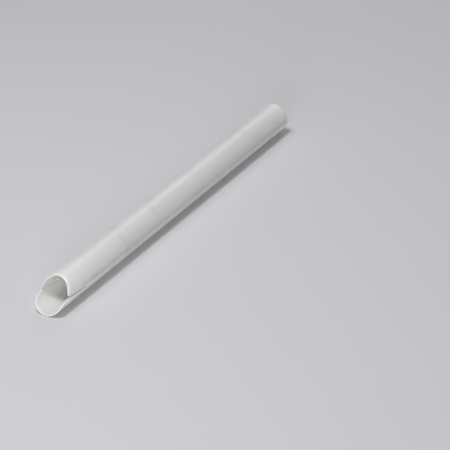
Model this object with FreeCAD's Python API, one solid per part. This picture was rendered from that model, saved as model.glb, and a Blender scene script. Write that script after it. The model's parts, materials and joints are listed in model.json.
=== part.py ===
import FreeCAD, Part
import math
import os

# Tree guard tube, lying along X with its tongue at -X and its plain end in the plane X = 0.
# Two rigid half shells make the tube. The lower one, with the tongue, carries a hinge socket
# along its left side (+Y). The upper one hooks into it with a round bead, swings open about
# it, and laps over a thin lip on the right side (-Y) when it is shut.
# All sizes are in millimetres. The origin is on the tube's axis, at the plain end.

# Tube
outer_diameter = 44.5
wall = 2.4
overall_length = 610.0
seam_z = -1.2                 # height of the trough's side edges behind the slits

# Tongue of the trough
tongue_reach = 25.4           # how far the tip stands ahead of the cover's corners
tongue_shoulder_x = 13.2      # where its side edge turns down, ahead of the corners
tongue_shoulder_z = -4.4
tongue_bulge = 1.5            # how far the tip's curve stands out from its chord
shoulder_radius = 7.0

# Mouth of the cover
mouth_slant = math.radians(53.0)   # slope of the mouth against the axis
nose_height = 7.0             # straight part of the mouth above the seam
nose_radius = 5.0

# Slit on each side, from the mouth back to where the seam closes
mouth_gap = 2.3               # its height at the mouth
slit_length = 37.0
slit_floor_z = -5.0           # height of the trough's edge at the slit's closed end
slit_roof_z = -2.2            # height of the cover's edge there
slit_round = 1.1              # rounding of its closed end
seam_gap = 0.2                # height of the closed seam

# Hinge along the left side
bead_radius = 0.8
hinge_clearance = 0.05
socket_wall = 0.65
web_thickness = 0.48
web_angle = 112.0             # direction of the bead's web when shut, from +Y towards +Z
opening_angle = 90.0
stop_angle = 2.0              # angular play of the web at each side of its window
free_gap = 0.3
blunt_edge_height = 2.4       # along the hinge, the cover's edge stops this far above the seam
hinge_start = 38.0            # behind the cover's corners
hinge_end = 6.0               # short of the plain end
end_stop = 2.0                # closed length at each end of the socket
socket_inset = 1.05           # thickness left between the socket and the tube's bore
web_root = 2.0                # how far the web runs on past the room round the socket

# Lap joint along the right side
lap_height = 4.0
lap_gap = 0.15
lip_thickness = 1.1
lip_root = 0.5                # how far the lip reaches down into the trough's wall

# Rounded edges
mouth_edge_round = 1.9
tongue_edge_round = 0.9

# Working allowances
overrun = 1.0                 # how far a cutting shape or a search runs past what it meets
surface_tolerance = 0.01      # a point this close to a surface counts as on it

# Derived sizes
outer_radius = outer_diameter / 2
inner_radius = outer_radius - wall
tip_x = -overall_length
corner_x = tip_x + tongue_reach
socket_bore = bead_radius + hinge_clearance
socket_radius = socket_bore + socket_wall
hinge_y = inner_radius + socket_inset + socket_radius
slit_end_x = corner_x + slit_length
hinge_x0 = corner_x + hinge_start
hinge_x1 = -hinge_end
lip_arc_radius = hinge_y + inner_radius + lip_thickness
lip_top_z = seam_z + lap_height


def cylinder(radius, x0, x1, y=0.0, z=0.0):
    """Solid cylinder along X."""
    base = FreeCAD.Vector(x0, y, z)
    return Part.makeCylinder(radius, x1 - x0, base, FreeCAD.Vector(1, 0, 0))


def block(x0, x1, y0, y1, z0, z1):
    """Box between two corners."""
    return Part.makeBox(x1 - x0, y1 - y0, z1 - z0, FreeCAD.Vector(x0, y0, z0))


def hinge_cylinder(radius, x0, x1):
    """Solid cylinder about the hinge axis."""
    return cylinder(radius, x0, x1, hinge_y, seam_z)


def tube():
    """The whole round wall, before it is parted into two shells."""
    outside = cylinder(outer_radius, tip_x, 0)
    inside = cylinder(inner_radius, tip_x - overrun, overrun)
    return outside.cut(inside)


def point(x, z):
    """Point in the side view."""
    return FreeCAD.Vector(x, 0, z)


def side_view_solid(edges):
    """Carry a closed side view right across the tube."""
    face = Part.Face(Part.Wire(edges))
    face.translate(FreeCAD.Vector(0, -2 * outer_radius, 0))
    return face.extrude(FreeCAD.Vector(0, 4 * outer_radius, 0))


def polyline(points):
    """Straight edges through a list of points."""
    return [Part.makeLine(start, end) for start, end in zip(points, points[1:])]


def rounded_corner(before, corner, after, radius):
    """Arc that rounds one corner, with the points where it starts and ends."""
    back = (before - corner).normalize()
    ahead = (after - corner).normalize()
    half_angle = back.getAngle(ahead) / 2
    start = corner + back * (radius / math.tan(half_angle))
    end = corner + ahead * (radius / math.tan(half_angle))
    towards_centre = (back + ahead).normalize()
    middle = corner + towards_centre * (radius / math.sin(half_angle) - radius)
    return start, Part.Arc(start, middle, end).toShape(), end


def trough_side_view():
    """Everything below the seam, with the rounded tongue and the slit's floor at the front."""
    tip = point(tip_x, -outer_radius)
    shoulder = point(corner_x - tongue_shoulder_x, tongue_shoulder_z)
    corner = point(corner_x, seam_z)
    chord = shoulder - tip
    outward = FreeCAD.Vector(-chord.z, 0, chord.x).normalize()
    bulge = tip + chord * 0.5 + outward * tongue_bulge
    nose = Part.Arc(tip, bulge, shoulder)
    leaving = nose.toShape().tangentAt(nose.toShape().LastParameter)
    before = shoulder - leaving * chord.Length
    bend = rounded_corner(before, shoulder, corner, shoulder_radius)
    bend_start, shoulder_arc, bend_end = bend
    nose = Part.Arc(tip, bulge, bend_start)
    slit_end = point(slit_end_x, slit_floor_z)
    seam = point(slit_end_x, seam_z)
    slit_start, slit_arc, slit_stop = rounded_corner(corner, slit_end, seam, slit_round)
    low = -outer_radius - wall
    front = [nose.toShape(), shoulder_arc] + polyline([bend_end, corner, slit_start])
    end = [point(overrun, seam_z), point(overrun, low), point(tip_x, low)]
    back = [slit_stop, seam] + end + [tip]
    return side_view_solid(front + [slit_arc] + polyline(back))


def cover_side_view():
    """Everything above the seam, with the slanted mouth and the slit's roof at the front."""
    foot = point(corner_x, seam_z + mouth_gap)
    nose = point(corner_x, seam_z + nose_height)
    top_z = outer_radius + wall
    run = (top_z - nose.z) / math.tan(mouth_slant)
    top = point(corner_x + run, top_z)
    skirt = point(slit_end_x - free_gap, slit_roof_z)
    seam = point(slit_end_x - free_gap, seam_z + seam_gap)
    nose_start, nose_arc, nose_end = rounded_corner(foot, nose, top, nose_radius)
    end = [point(overrun, top_z), point(overrun, seam_z + seam_gap)]
    back = [nose_end, top] + end + [seam, skirt, foot, nose_start]
    return side_view_solid([nose_arc] + polyline(back))


def end_edges(solid, x_low, x_high, is_wanted):
    """Edges that lie wholly between two stations and pass a test on one point of theirs."""
    found = []
    for edge in solid.Edges:
        box = edge.BoundBox
        middle = edge.valueAt((edge.FirstParameter + edge.LastParameter) / 2)
        if box.XMin > x_low and box.XMax < x_high and is_wanted(middle):
            found.append(edge)
    return found


def is_outside(place):
    return math.hypot(place.y, place.z) > outer_radius - surface_tolerance


def hinge_window():
    """Wedge of the socket that the bead's web swings through."""
    half_web = math.degrees(math.asin(web_thickness / 2 / bead_radius))
    first = web_angle - opening_angle - half_web - stop_angle
    sweep = opening_angle + 2 * (half_web + stop_angle)
    length = hinge_x1 - hinge_x0 - 2 * end_stop
    base = FreeCAD.Vector(hinge_x0 + end_stop, hinge_y, seam_z)
    wedge = Part.makeCylinder(2 * socket_radius, length, base, FreeCAD.Vector(1, 0, 0), sweep)
    wedge.rotate(base, FreeCAD.Vector(1, 0, 0), first - start_angle_of_sweep(wedge, base, sweep))
    return wedge


def start_angle_of_sweep(wedge, base, sweep):
    """Direction, from +Y towards +Z, in which a freshly made wedge starts."""
    centre = wedge.CenterOfMass - base
    return math.degrees(math.atan2(centre.z, centre.y)) - sweep / 2


def hinge_socket():
    """Open C section that holds the bead, closed by a short plug at each end."""
    body = hinge_cylinder(socket_radius, hinge_x0, hinge_x1)
    return body.cut(hinge_window())


def hinge_bead():
    """Round bead and the thin web that joins it to the cover."""
    x0 = hinge_x0 + end_stop + free_gap
    x1 = hinge_x1 - end_stop - free_gap
    bead = hinge_cylinder(bead_radius, x0, x1)
    reach = socket_radius + free_gap + web_root
    web = block(x0, x1, 0, reach, -web_thickness / 2, web_thickness / 2)
    web.translate(FreeCAD.Vector(0, hinge_y, seam_z))
    web.rotate(FreeCAD.Vector(0, hinge_y, seam_z), FreeCAD.Vector(1, 0, 0), web_angle)
    return bead.fuse(web)


def hinge_room():
    """Space that the cover's wall leaves round the socket, with a blunt lower edge."""
    x0 = hinge_x0 - free_gap
    x1 = hinge_x1 + free_gap
    blunt = block(x0, x1, 0, hinge_y, seam_z - overrun, seam_z + blunt_edge_height)
    return hinge_cylinder(socket_radius + free_gap, x0, x1).fuse(blunt)


def trough_lip():
    """Thin inner lip on the right side, its outer face an arc about the hinge."""
    strip = block(hinge_x0, 0, -outer_radius, 0, seam_z - lip_root, lip_top_z)
    return tube().common(strip).common(hinge_cylinder(lip_arc_radius, hinge_x0, 0))


def lip_room():
    """Space in the cover that the lip fills when the tube is shut."""
    start = hinge_x0 - free_gap
    top = lip_top_z + lap_gap
    strip = block(start, overrun, -outer_radius, 0, seam_z - overrun, top)
    return strip.common(hinge_cylinder(lip_arc_radius + lap_gap, start, overrun))


def tongue_shell():
    """Lower half shell: trough, tongue, hinge socket and lip."""
    shell = tube().common(trough_side_view())
    rim = end_edges(shell, tip_x - overrun, corner_x + overrun, lambda place: True)
    shell = shell.makeFillet(tongue_edge_round, rim)
    bore = hinge_cylinder(socket_bore, hinge_x0 + end_stop, hinge_x1 - end_stop)
    shell = shell.fuse([hinge_socket(), trough_lip()]).cut(bore)
    return shell.cut(hinge_window()).removeSplitter()


def cover_shell():
    """Upper half shell: slanted mouth, bead and skirt."""
    shell = tube().common(cover_side_view())
    mouth = end_edges(shell, corner_x - overrun, corner_x + tongue_reach, is_outside)
    shell = shell.makeFillet(mouth_edge_round, mouth)
    shell = shell.cut(hinge_room()).cut(lip_room())
    return shell.fuse(hinge_bead()).removeSplitter()


os.makedirs("parts", exist_ok=True)
tongue_shell().exportStep("parts/tongue_shell.step")
cover_shell().exportStep("parts/cover_shell.step")
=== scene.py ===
import json
import math

import bmesh
import bpy
import numpy as np
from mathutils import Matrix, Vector


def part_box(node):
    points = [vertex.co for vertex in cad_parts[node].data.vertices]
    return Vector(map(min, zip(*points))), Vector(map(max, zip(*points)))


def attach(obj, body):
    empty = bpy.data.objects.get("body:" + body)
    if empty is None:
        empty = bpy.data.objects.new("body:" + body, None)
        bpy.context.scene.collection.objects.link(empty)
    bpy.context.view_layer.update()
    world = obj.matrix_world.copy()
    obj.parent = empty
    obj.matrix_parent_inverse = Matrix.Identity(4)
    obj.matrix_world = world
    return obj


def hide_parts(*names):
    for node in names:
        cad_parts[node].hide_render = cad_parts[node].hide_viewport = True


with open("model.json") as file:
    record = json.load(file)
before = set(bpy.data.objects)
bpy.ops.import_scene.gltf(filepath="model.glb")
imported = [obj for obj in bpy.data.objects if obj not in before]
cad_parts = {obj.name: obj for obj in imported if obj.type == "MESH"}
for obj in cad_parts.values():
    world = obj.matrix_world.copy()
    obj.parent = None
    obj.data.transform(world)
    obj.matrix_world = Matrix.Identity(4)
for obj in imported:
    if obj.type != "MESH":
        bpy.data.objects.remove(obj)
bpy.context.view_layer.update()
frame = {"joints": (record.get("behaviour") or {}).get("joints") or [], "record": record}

# Everything below is in the row frame: X along the tube, tongue at -X, plain end at X = 0,
# +Z up, the hinge on +Y and the lap on -Y. Shapes are worked out in millimetres.
MM = 0.001
record = frame["record"]
mounts = {mount["name"]: mount for mount in record["mounts"]}
hinge = frame["joints"][0]

# Tube
wall = 2.4
bore_radius = mounts["trunk_bore"]["dims"]["r_mm"]
outer_radius = bore_radius + wall
tip_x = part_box("tongue_shell")[0].x / MM
corner_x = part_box("cover_shell")[0].x / MM
seam_z = hinge["pos_m"][2] / MM
hinge_y = hinge["pos_m"][1] / MM

# Tongue
tongue_shoulder_x = 13.2
tongue_shoulder_z = -4.4
tongue_bulge = 1.5
shoulder_radius = 7.0
shoulder_sample = 8     # the bend's direction is read this many points before the shoulder

# Mouth of the cover
mouth_slant = math.radians(53.0)
nose_height = 7.0
nose_radius = 5.0
mouth_gap = 2.3
seam_gap = 0.2
foot_radius = 1.2       # rounds the mouth's corners at the slits
mouth_overrun = 1.0     # how far the mouth's line runs on above the tube

# Slit on each side, from the mouth back to where the seam closes
slit_length = 37.0
slit_end = corner_x + slit_length
slit_floor_z = -5.0
slit_roof_z = -2.2
slit_round = 1.1

# Hinge
bead_radius = 0.8
socket_bore = 0.85
socket_radius = 1.5
web_thickness = 0.48
web_angle = 112.0
web_reach = 3.8
window_first = 2.54     # degrees, from +Y towards +Z
window_sweep = 128.9
hinge_room = 1.8        # radius that the cover's wall leaves free round the socket
edge_height = 2.4       # along the hinge, the cover's edge stops this far above the seam
blunt_depth = 1.0       # how far the cut for that edge reaches below the seam
blunt_width = 5.0
hinge_setback = 38.0
hinge_start = corner_x + hinge_setback
hinge_stop = -6.0
end_stop = 2.0          # closed length at each end of the socket
socket_ease = 0.25      # chamfer of the socket's ends
free_gap = 0.3

# Lap
lap_height = 4.0
lap_gap = 0.15
lip_thickness = 1.1
lip_top_z = seam_z + lap_height
lip_arc = hinge_y + bore_radius + lip_thickness
step_ledge = 0.3        # breadth of the edge's middle strip where there is no lip
lip_least = 1.0         # the inner edge stands higher than the outer one by more at the lip

# Rounding of the edges: width across the face and depth into the wall
mouth_round = (4.0, 1.75)
mouth_inner_round = (0.5, 0.4)
tongue_round = (1.1, 1.0)
seam_round = (0.35, 0.3)
end_round = (0.3, 0.3)
round_steps = 9
side_steps = 4

# Grid of each shell: distances from its long edges, then stations along X, counted from the
# slit's closed end, from the lap's start and from the plain end
near_edge = (0.6, 0.9, 1.3, 1.9, 2.7, 3.7, 5.0)
slit_end_wide = [-2.2, -1.1, -0.85, -0.6, -0.4, -0.31]
slit_end_close = [-0.29, -0.2, -0.1, -0.04, -0.01, 0.01]
columns_between = 91
lap_step = 0.02
run_margin = 6.0
run_stop = -3.0
run_stations = 26
front_stations = 14
front_spread = 1.15     # above 1, the stations crowd towards the mouth
front_margin = 4.0
settle_rounds = 12      # passes until the stations and the seam's height agree
slope_reach = 0.01      # radians, over which the front edge's slope is read
sharp_angle = math.radians(32.0)
arc_points = 40
circle_points = 48
window_points = 24
bead_points = 44
bead_gap = 0.01         # degrees left open between the bead's outline and its web

# Plastic
dull_white = (0.93, 0.912, 0.872)
clean_white = (0.965, 0.95, 0.915)
die_line_tint = (0.965, 0.962, 0.953)
grime_colour = (0.70, 0.685, 0.645)
speck_colour = (0.62, 0.605, 0.57)
black, white = (0, 0, 0), (1, 1, 1)
plastic = {
    "Subsurface Weight": 0.65,
    "Subsurface Radius": (1.0, 0.94, 0.78),
    "Subsurface Scale": 0.009,
    "IOR": 1.53,
}

# Floor, in metres
floor_half_size = 6.0
floor_squares = 8
floor_darker = (0.713, 0.718, 0.744)
floor_paler = (0.733, 0.738, 0.764)
floor_patches = 3.0
floor_roughness = 0.75

# Camera at the photograph's viewing angle, in metres
camera_azimuth = math.radians(-59.55)
camera_elevation = math.radians(29.83)
camera_distance = 3.1957
camera_aim = Vector((-0.2844, -0.0812, -0.02225))
camera_lens = 183.35
camera_sensor = 36.0
camera_clip = (0.05, 50.0)

# Soft round lights: place, what each is turned to, diameter and power, in metres and watts
mouth_centre = Vector((corner_x * MM, 0, 0))
lights = {
    "overhead": ((-0.9, 0.1, 2.3), camera_aim, 0.7, 25.0),
    "overhead_far": ((-0.6, 0.9, 2.0), camera_aim, 1.2, 6.0),
    "back": ((1.42, 0.56, 1.42), camera_aim, 1.0, 5.0),
    "right": ((0.9, -1.9, 1.3), camera_aim, 1.4, 3.0),
    "side": ((-2.4, -0.9, 0.45), mouth_centre, 0.9, 19.0),
}
sky_colour = (0.985, 0.99, 1.0)
sky_strength = 0.12


def circle_centre(a, b, c):
    """Centre of the circle through three points of the side view."""
    (ax, az), (bx, bz), (cx, cz) = a, b, c
    d = 2 * (ax * (bz - cz) + bx * (cz - az) + cx * (az - bz))
    a2, b2, c2 = ax * ax + az * az, bx * bx + bz * bz, cx * cx + cz * cz
    x = (a2 * (bz - cz) + b2 * (cz - az) + c2 * (az - bz)) / d
    z = (a2 * (cx - bx) + b2 * (ax - cx) + c2 * (bx - ax)) / d
    return np.array([x, z])


def arc(a, b, c):
    """Points from a to c along the circle through a, b and c."""
    centre = circle_centre(a, b, c)
    start = math.atan2(a[1] - centre[1], a[0] - centre[0])
    stop = math.atan2(c[1] - centre[1], c[0] - centre[0])
    turn = (stop - start + math.pi) % (2 * math.pi) - math.pi
    angles = start + turn * np.linspace(0, 1, arc_points)
    radius = math.hypot(a[0] - centre[0], a[1] - centre[1])
    return centre + radius * np.column_stack([np.cos(angles), np.sin(angles)])


def rounded_corner(before, corner, after, radius):
    """Arc that rounds one corner of the side view."""
    back = (before - corner) / np.linalg.norm(before - corner)
    ahead = (after - corner) / np.linalg.norm(after - corner)
    half = math.acos(np.clip(back @ ahead, -1, 1)) / 2
    start = corner + back * radius / math.tan(half)
    end = corner + ahead * radius / math.tan(half)
    bisector = (back + ahead) / np.linalg.norm(back + ahead)
    middle = corner + bisector * (radius / math.sin(half) - radius)
    return arc(start, middle, end)


def tongue_line():
    """Side view of the tongue's edge, from the tip up to the cover's corner."""
    tip = np.array([tip_x, -outer_radius])
    shoulder = np.array([corner_x - tongue_shoulder_x, tongue_shoulder_z])
    corner = np.array([corner_x, seam_z])
    chord = shoulder - tip
    outward = np.array([-chord[1], chord[0]]) / np.linalg.norm(chord)
    bulge = tip + chord / 2 + outward * tongue_bulge
    nose = arc(tip, bulge, shoulder)
    bend = rounded_corner(nose[-shoulder_sample], shoulder, corner, shoulder_radius)
    nose = nose[nose[:, 1] < bend[0, 1]]
    return np.vstack([nose, bend, corner])


def mouth_line():
    """Side view of the cover's mouth, from the foot up to the top."""
    foot = np.array([corner_x, seam_z])
    nose = np.array([corner_x, seam_z + nose_height])
    rise = outer_radius + mouth_overrun - nose[1]
    top = nose + np.array([rise / math.tan(mouth_slant), rise])
    return np.vstack([foot, rounded_corner(foot, nose, top, nose_radius), top])


def along_slit(x, front, back):
    """Height of one side of the slit, from the mouth to its closed end."""
    share = np.clip((x - corner_x) / (slit_end - corner_x), 0, 1)
    return front + (back - front) * share


def cover_seam(x):
    """Height of the cover's lower edge: the slit's upper side, then the closed seam."""
    roof = along_slit(x, seam_z + mouth_gap, slit_roof_z)
    return np.where(x < slit_end - free_gap, roof, seam_z + seam_gap)


def trough_seam(x):
    """Height of the trough's edge: the slit's lower side with a rounded end, then the seam."""
    into = np.clip(x - slit_end + slit_round, 0, slit_round)
    floor = along_slit(x, seam_z, slit_floor_z)
    floor = floor + slit_round - np.sqrt(slit_round**2 - into**2)
    return np.where(x < slit_end, floor, seam_z)


def stepped(seam, lip_z, start):
    """Seam height that jumps to the lip's height where the lap starts."""
    return lambda x: np.where(x < start, seam(x), lip_z)


def fall(steps, size):
    """Distances from an edge and drops below the face, from the edge inwards."""
    turn = np.linspace(math.pi / 2, 0, steps + 1)
    return size[0] * (1 - np.sin(turn)), size[1] * (1 - np.cos(turn))


def arc_about_hinge(radius, z):
    """Y of the lap's curved face at a height."""
    return hinge_y - np.sqrt(radius**2 - (z - seam_z) ** 2)


# Kinds of grid column, by where they stand round the wall
LAP_SIDE, BETWEEN, HINGE_SIDE = 0, 1, 2


class Shell:
    """One half of the tube wall, as a grid outside, a grid inside and the rim between."""

    def __init__(self, sign, line, seam, lap_seam, lap_start, lap_arc, rounds, foot):
        self.sign, self.line, self.seam, self.lap_seam = sign, line, seam, lap_seam
        self.lap_start, self.lap_arc, self.foot = lap_start, lap_arc, foot
        self.outer_round, self.inner_round = rounds
        side = fall(side_steps, seam_round)
        near = np.array(near_edge)
        self.edge = np.concatenate([side[0], near])
        self.edge_drop = np.concatenate([side[1], 0 * near])
        self.middle = np.linspace(0, 1, columns_between + 2)[1:-1]
        self.make_rows()

    def make_rows(self):
        """Stations along the tube: the rounded front, the run behind it, the plain end."""
        outer = fall(round_steps, self.outer_round)
        inner = fall(round_steps, self.inner_round)
        end = fall(side_steps, end_round)
        shares = np.linspace(0, 1, front_stations + 1)[1:] ** front_spread
        start = self.lap_start
        run = list(slit_end + np.array(slit_end_wide + slit_end_close))
        run += [start - lap_step, start + lap_step]
        run += list(np.linspace(start + run_margin, run_stop, run_stations))
        self.front = np.array([outer[0], inner[0]])
        self.front_drop = np.array([outer[1], inner[1]])
        self.shares = shares
        self.blend_end = start - front_margin
        self.run = np.array(run)
        self.end = -end[0][::-1]
        self.end_drop = end[1][::-1]
        self.rows = len(outer[0]) + len(shares) + len(run) + len(end[0])

    def surface(self, inside):
        """Points of one face, as rows along the tube by columns round it."""
        base = bore_radius if inside else outer_radius
        edge, middle = self.edge, self.middle
        kind = np.repeat([LAP_SIDE, BETWEEN, HINGE_SIDE], [len(edge), len(middle), len(edge)])
        value = np.concatenate([edge, middle, edge[::-1]])
        side_drop = np.concatenate([self.edge_drop, 0 * middle, self.edge_drop[::-1]])
        n_front = len(self.front[0])
        front = self.front[int(inside)]
        row_drop = np.zeros(self.rows)
        row_drop[:n_front] = self.front_drop[int(inside)]
        row_drop[self.rows - len(self.end) :] = self.end_drop
        drop = (row_drop[:, None] ** 3 + side_drop[None, :] ** 3) ** (1 / 3)
        radius = base + drop if inside else base - drop
        x = np.full(radius.shape, corner_x)
        right = self.lap_seam if inside else self.seam
        for _ in range(settle_rounds):
            low = np.arcsin(self.sign * right(x) / radius)
            plain = np.arcsin(self.sign * self.seam(x) / radius)
            high = math.pi - plain
            angle = self.angles(kind, value, low, high, plain, base)
            from_edge = np.minimum(angle - low, high - angle) * base
            x = self.stations(angle, radius, base, from_edge, front, n_front)
        y = -radius * np.cos(angle)
        z = self.sign * radius * np.sin(angle)
        return np.stack([x, y, z], axis=-1)

    def angles(self, kind, value, low, high, plain, base):
        """Polar angle of each point, from the lap side round to the hinge side."""
        reach = self.edge[-1]
        stretch = (plain + reach / base - low) / (reach / base)
        angle = np.where(kind == LAP_SIDE, low + value / base * stretch, 0)
        angle = np.where(kind == HINGE_SIDE, high - value / base, angle)
        start, stop = plain + reach / base, high - reach / base
        return np.where(kind == BETWEEN, start + (stop - start) * value, angle)

    def stations(self, angle, radius, base, from_edge, front, n_front):
        """X of each point, following the front edge near it."""
        z = self.sign * radius * np.sin(angle)
        line_x, line_z = self.line[:, 0], self.line[:, 1]
        at = np.interp(z, line_z, line_x)
        turn = slope_reach
        ahead = np.interp(self.sign * radius * np.sin(angle + turn), line_z, line_x)
        behind = np.interp(self.sign * radius * np.sin(angle - turn), line_z, line_x)
        slope = (ahead - behind) / (2 * turn * radius)
        scale = np.sqrt(1 + slope**2)
        if self.foot:
            cut = np.clip(self.foot - from_edge, 0, self.foot)
            at = at + self.foot - np.sqrt(self.foot**2 - cut**2)
        x = np.empty(angle.shape)
        for j in range(n_front):
            x[j] = at[j] + front[j] * scale[j]
        for j, share in enumerate(self.shares, n_front):
            x[j] = (at[j] + front[-1] * scale[j]) * (1 - share) + self.blend_end * share
        n = n_front + len(self.shares)
        x[n : n + len(self.run)] = self.run[:, None]
        x[n + len(self.run) :] = self.end[:, None]
        return x

    def build(self, name):
        """Mesh of the shell: both faces, the two long edges, the front and the end."""
        outside, inside = self.surface(False), self.surface(True)
        rows, columns = outside.shape[:2]
        mesh = bmesh.new()

        def points(grid):
            return [[mesh.verts.new(p * MM) for p in row] for row in grid]

        out, inn = points(outside), points(inside)
        steps = []
        for j in range(rows):
            x, z = outside[j, 0, 0], outside[j, 0, 2]
            top = inside[j, 0, 2]
            first = np.array([x, arc_about_hinge(self.lap_arc, z), z])
            if top - z > lip_least:
                second = np.array([x, arc_about_hinge(self.lap_arc, top), top])
            else:
                second = first + np.array([0, step_ledge, 0])
                second[0] = inside[j, 0, 0]
            steps.append([mesh.verts.new(first * MM), mesh.verts.new(second * MM)])
        for j in range(rows - 1):
            for i in range(columns - 1):
                mesh.faces.new([out[j][i], out[j][i + 1], out[j + 1][i + 1], out[j + 1][i]])
                mesh.faces.new([inn[j][i], inn[j + 1][i], inn[j + 1][i + 1], inn[j][i + 1]])
            for k in range(3):
                a = out[j][0] if k == 0 else steps[j][k - 1]
                b = out[j + 1][0] if k == 0 else steps[j + 1][k - 1]
                c = inn[j + 1][0] if k == 2 else steps[j + 1][k]
                d = inn[j][0] if k == 2 else steps[j][k]
                mesh.faces.new([a, b, c, d])
            mesh.faces.new([out[j][-1], inn[j][-1], inn[j + 1][-1], out[j + 1][-1]])
        step = steps[0]
        mesh.faces.new([out[0][0], step[0], step[1], inn[0][0], inn[0][1], out[0][1]])
        for i in range(1, columns - 1):
            mesh.faces.new([out[0][i], inn[0][i], inn[0][i + 1], out[0][i + 1]])
        end = [out[-1][i] for i in range(columns)]
        end += [inn[-1][i] for i in reversed(range(columns))]
        end += [steps[-1][1], steps[-1][0]]
        mesh.faces.new(end)
        bmesh.ops.recalc_face_normals(mesh, faces=mesh.faces)
        return link(name, mesh)


def link(name, mesh):
    """Object made of a finished mesh, put into the scene."""
    data = bpy.data.meshes.new(name)
    mesh.to_mesh(data)
    mesh.free()
    obj = bpy.data.objects.new(name, data)
    bpy.context.scene.collection.objects.link(obj)
    return obj


def prism(name, outline, x0, x1):
    """Outline in Y and Z carried along X."""
    mesh = bmesh.new()
    a = [mesh.verts.new(Vector((x0, y, z)) * MM) for y, z in outline]
    b = [mesh.verts.new(Vector((x1, y, z)) * MM) for y, z in outline]
    n = len(outline)
    for i in range(n):
        mesh.faces.new([a[i], a[(i + 1) % n], b[(i + 1) % n], b[i]])
    mesh.faces.new(a[::-1])
    mesh.faces.new(b)
    bmesh.ops.recalc_face_normals(mesh, faces=mesh.faces)
    return link(name, mesh)


def ring(radius, first=0.0, sweep=360.0, count=circle_points):
    """Points of a circle or an arc about the hinge, in Y and Z."""
    full = sweep >= 360
    turn = (np.arange(count) + 0.5) / count if full else np.linspace(0, 1, count)
    angles = np.radians(first + sweep * turn)
    y = hinge_y + radius * np.cos(angles)
    z = seam_z + radius * np.sin(angles)
    return list(zip(y, z))


def about_hinge(name, radius, x0, x1, chamfer=0.0):
    """Round bar about the hinge, its ends eased."""
    mesh = bmesh.new()
    stations = [(x0, radius), (x1, radius)]
    if chamfer:
        stations = [
            (x0, radius - chamfer),
            (x0 + chamfer, radius),
            (x1 - chamfer, radius),
            (x1, radius - chamfer),
        ]
    loops = []
    for x, r in stations:
        loops.append([mesh.verts.new(Vector((x, y, z)) * MM) for y, z in ring(r)])
    for a, b in zip(loops, loops[1:]):
        for i in range(len(a)):
            k = (i + 1) % len(a)
            mesh.faces.new([a[i], a[k], b[k], b[i]])
    mesh.faces.new(loops[0][::-1])
    mesh.faces.new(loops[-1])
    bmesh.ops.recalc_face_normals(mesh, faces=mesh.faces)
    return link(name, mesh)


def combine(target, tool, operation):
    """Join a solid to a mesh, or cut it away, and drop the solid."""
    cut = target.modifiers.new("combine", "BOOLEAN")
    cut.operation, cut.solver, cut.object = operation, "EXACT", tool
    apply_modifiers(target)
    bpy.data.objects.remove(tool)


def apply_modifiers(obj):
    """Replace an object's mesh by what its modifiers make of it."""
    graph = bpy.context.evaluated_depsgraph_get()
    data = bpy.data.meshes.new_from_object(obj.evaluated_get(graph))
    obj.modifiers.clear()
    old, obj.data = obj.data, data
    bpy.data.meshes.remove(old)


def smooth(obj):
    """Smooth shading with true edges kept sharp, weighted to the large faces."""
    mesh = obj.data
    mesh.polygons.foreach_set("use_smooth", [True] * len(mesh.polygons))
    mesh.set_sharp_from_angle(angle=sharp_angle)
    weighted = obj.modifiers.new("normals", "WEIGHTED_NORMAL")
    weighted.keep_sharp = True
    apply_modifiers(obj)


def make_trough():
    """Lower half: trough, tongue, lip and hinge socket."""
    rounds = (tongue_round, tongue_round)
    seams = (trough_seam, stepped(trough_seam, lip_top_z, hinge_start))
    shell = Shell(-1, tongue_line(), *seams, hinge_start, lip_arc, rounds, 0.0)
    skin = shell.build("trough_skin")
    socket = about_hinge("socket", socket_radius, hinge_start, hinge_stop, socket_ease)
    combine(skin, socket, "UNION")
    inner = (hinge_start + end_stop, hinge_stop - end_stop)
    combine(skin, about_hinge("bore", socket_bore, *inner), "DIFFERENCE")
    rim = ring(2 * socket_radius, window_first, window_sweep, window_points)
    wedge = [(hinge_y, seam_z)] + rim
    combine(skin, prism("window", wedge, *inner), "DIFFERENCE")
    return skin


def make_cover():
    """Upper half: slanted mouth, skirt, bead and web."""
    rounds = (mouth_round, mouth_inner_round)
    start = hinge_start - free_gap
    seams = (cover_seam, stepped(cover_seam, lip_top_z + lap_gap, start))
    arc_radius = lip_arc + lap_gap
    shell = Shell(1, mouth_line(), *seams, start, arc_radius, rounds, foot_radius)
    skin = shell.build("cover_skin")
    stop = hinge_stop + free_gap
    combine(skin, about_hinge("room", hinge_room, start, stop), "DIFFERENCE")
    low, high = seam_z - blunt_depth, seam_z + edge_height
    far = hinge_y - blunt_width
    square = [(far, low), (hinge_y, low), (hinge_y, high), (far, high)]
    combine(skin, prism("blunt", square, start, stop), "DIFFERENCE")
    combine(skin, make_bead(), "UNION")
    return skin


def make_bead():
    """Round bead and the web that carries it, as one outline."""
    half = web_thickness / 2
    spread = math.degrees(math.asin(half / bead_radius))
    sweep = 360 - 2 * spread - bead_gap
    outline = ring(bead_radius, web_angle + spread, sweep, bead_points)
    turn = math.radians(web_angle)
    along = np.array([math.cos(turn), math.sin(turn)])
    across = np.array([along[1], -along[0]])
    centre = np.array([hinge_y, seam_z])
    for side in (1, -1):
        outline.append(tuple(centre + along * web_reach + across * half * side))
    inset = end_stop + free_gap
    return prism("bead", outline, hinge_start + inset, hinge_stop - inset)


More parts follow.
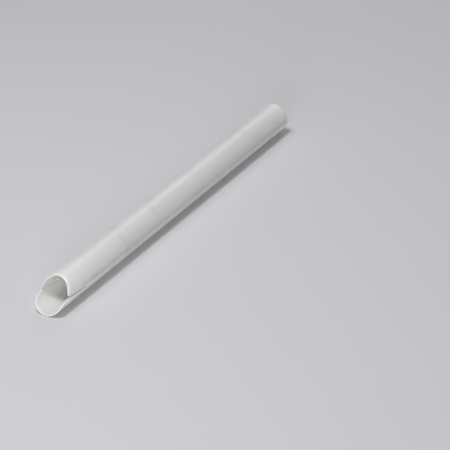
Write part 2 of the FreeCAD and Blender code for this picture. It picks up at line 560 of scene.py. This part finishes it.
def pvc():
    """Rigid white PVC: slight mottling, die lines along the tube, scuffs and grime."""
    mat = bpy.data.materials.new("white_pvc_skin")
    mat.use_nodes = True
    nodes, links = mat.node_tree.nodes, mat.node_tree.links
    shader = nodes["Principled BSDF"]
    where = nodes.new("ShaderNodeTexCoord")

    def stretched(scale):
        """Object coordinates, scaled so that a pattern runs long along the tube."""
        mapping = nodes.new("ShaderNodeMapping")
        mapping.inputs["Scale"].default_value = scale
        links.new(where.outputs["Object"], mapping.inputs["Vector"])
        return mapping.outputs["Vector"]

    def noise(stretch, size, detail=4.0, rough=0.55):
        """Noise pattern: a larger size is a finer pattern."""
        node = nodes.new("ShaderNodeTexNoise")
        node.inputs["Scale"].default_value = size
        node.inputs["Detail"].default_value = detail
        node.inputs["Roughness"].default_value = rough
        links.new(stretched(stretch), node.inputs["Vector"])
        return node.outputs["Fac"]

    def ramp(source, places, colours):
        """Colour that runs from the first to the second between two values."""
        node = nodes.new("ShaderNodeValToRGB")
        for element, place, colour in zip(node.color_ramp.elements, places, colours):
            element.position, element.color = place, (*colour, 1)
        links.new(source, node.inputs["Fac"])
        return node.outputs["Color"]

    def mixed(fac, a, b, kind="MIX"):
        """Mix of two colours, each a node's output or plain numbers."""
        node = nodes.new("ShaderNodeMix")
        node.data_type, node.blend_type = "RGBA", kind
        if hasattr(fac, "is_output"):
            links.new(fac, node.inputs["Factor"])
        else:
            node.inputs["Factor"].default_value = fac
        for socket, value in (("A", a), ("B", b)):
            target = [i for i in node.inputs if i.name == socket and i.type == "RGBA"][0]
            if hasattr(value, "is_output"):
                links.new(value, target)
            else:
                target.default_value = (*value, 1)
        return [o for o in node.outputs if o.type == "RGBA"][0]

    def bumped(height, strength, distance):
        """Bump from one pattern, its distance in metres."""
        node = nodes.new("ShaderNodeBump")
        node.inputs["Strength"].default_value = strength
        node.inputs["Distance"].default_value = distance
        links.new(height, node.inputs["Height"])
        return node

    for name, value in plastic.items():
        shader.inputs[name].default_value = value

    mottle = noise((1, 1, 1), size=38, detail=5)
    colour = ramp(mottle, (0.3, 0.7), (dull_white, clean_white))
    die_lines = noise((0.5, 1, 1), size=420, detail=2)
    streak = ramp(die_lines, (0.35, 0.7), (die_line_tint, white))
    colour = mixed(1.0, colour, streak, "MULTIPLY")
    grime = noise((1.2, 1, 1), size=22, detail=8, rough=0.7)
    colour = mixed(ramp(grime, (0.58, 0.82), (black, white)), colour, grime_colour)
    specks = noise((1, 1, 1), size=900, detail=1)
    colour = mixed(ramp(specks, (0.74, 0.78), (black, white)), colour, speck_colour)
    links.new(colour, shader.inputs["Base Color"])

    finish = noise((0.35, 1, 1), size=130, detail=6, rough=0.65)
    roughness = ramp(finish, (0.25, 0.8), ((0.3, 0.3, 0.3), (0.44, 0.44, 0.44)))
    links.new(roughness, shader.inputs["Roughness"])

    grain = noise((0.25, 1, 1), size=700, detail=4, rough=0.6)
    wave = noise((0.15, 1, 1), size=60, detail=3)
    fine = bumped(grain, strength=0.12, distance=0.0002)
    broad = bumped(wave, strength=0.15, distance=0.0006)
    links.new(fine.outputs["Normal"], broad.inputs["Normal"])
    links.new(broad.outputs["Normal"], shader.inputs["Normal"])
    return mat


def make_floor():
    """Pale floor, with a trace of unevenness in its tone."""
    mesh = bmesh.new()
    squares = floor_squares
    bmesh.ops.create_grid(mesh, x_segments=squares, y_segments=squares, size=floor_half_size)
    floor = link("floor", mesh)
    floor.location.z = -outer_radius * MM
    mat = bpy.data.materials.new("floor_paint")
    mat.use_nodes = True
    nodes, links = mat.node_tree.nodes, mat.node_tree.links
    shader = nodes["Principled BSDF"]
    place = nodes.new("ShaderNodeTexCoord")
    noise = nodes.new("ShaderNodeTexNoise")
    noise.inputs["Scale"].default_value = floor_patches
    links.new(place.outputs["Object"], noise.inputs["Vector"])
    ramp = nodes.new("ShaderNodeValToRGB")
    ramp.color_ramp.elements[0].color = (*floor_darker, 1)
    ramp.color_ramp.elements[1].color = (*floor_paler, 1)
    links.new(noise.outputs["Fac"], ramp.inputs["Fac"])
    links.new(ramp.outputs["Color"], shader.inputs["Base Color"])
    shader.inputs["Roughness"].default_value = floor_roughness
    floor.data.materials.append(mat)


def area_light(name, place, aim, size, power):
    """Round soft light, turned to a point."""
    data = bpy.data.lights.new(name, "AREA")
    data.shape, data.size, data.energy = "DISK", size, power
    light = bpy.data.objects.new(name, data)
    bpy.context.scene.collection.objects.link(light)
    light.location = place
    light.rotation_mode = "QUATERNION"
    light.rotation_quaternion = (aim - Vector(place)).to_track_quat("-Z", "Y")


def make_camera():
    """Camera held level, looking down at the tube."""
    back = Vector(
        (
            math.sin(camera_azimuth) * math.cos(camera_elevation),
            -math.cos(camera_azimuth) * math.cos(camera_elevation),
            math.sin(camera_elevation),
        )
    )
    data = bpy.data.cameras.new("camera")
    data.sensor_width, data.lens = camera_sensor, camera_lens
    data.clip_start, data.clip_end = camera_clip
    camera = bpy.data.objects.new("camera", data)
    bpy.context.scene.collection.objects.link(camera)
    camera.location = camera_aim + back * camera_distance
    camera.rotation_mode = "QUATERNION"
    camera.rotation_quaternion = (-back).to_track_quat("-Z", "Y")
    bpy.context.scene.camera = camera


def light_scene():
    """The lights, and a faint even sky."""
    for name, settings in lights.items():
        area_light(name, *settings)
    world = bpy.data.worlds.new("studio")
    world.use_nodes = True
    sky = world.node_tree.nodes["Background"]
    sky.inputs["Color"].default_value = (*sky_colour, 1)
    sky.inputs["Strength"].default_value = sky_strength
    bpy.context.scene.world = world


material = pvc()
pieces = (
    (make_trough(), "trough", "tongue_shell"),
    (make_cover(), "cover", "cover_shell"),
)
for skin, body, node in pieces:
    smooth(skin)
    skin.data.materials.clear()
    skin.data.materials.append(material)
    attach(skin, body)
    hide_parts(node)

make_floor()
make_camera()
light_scene()
bpy.context.scene.view_settings.view_transform = "Standard"
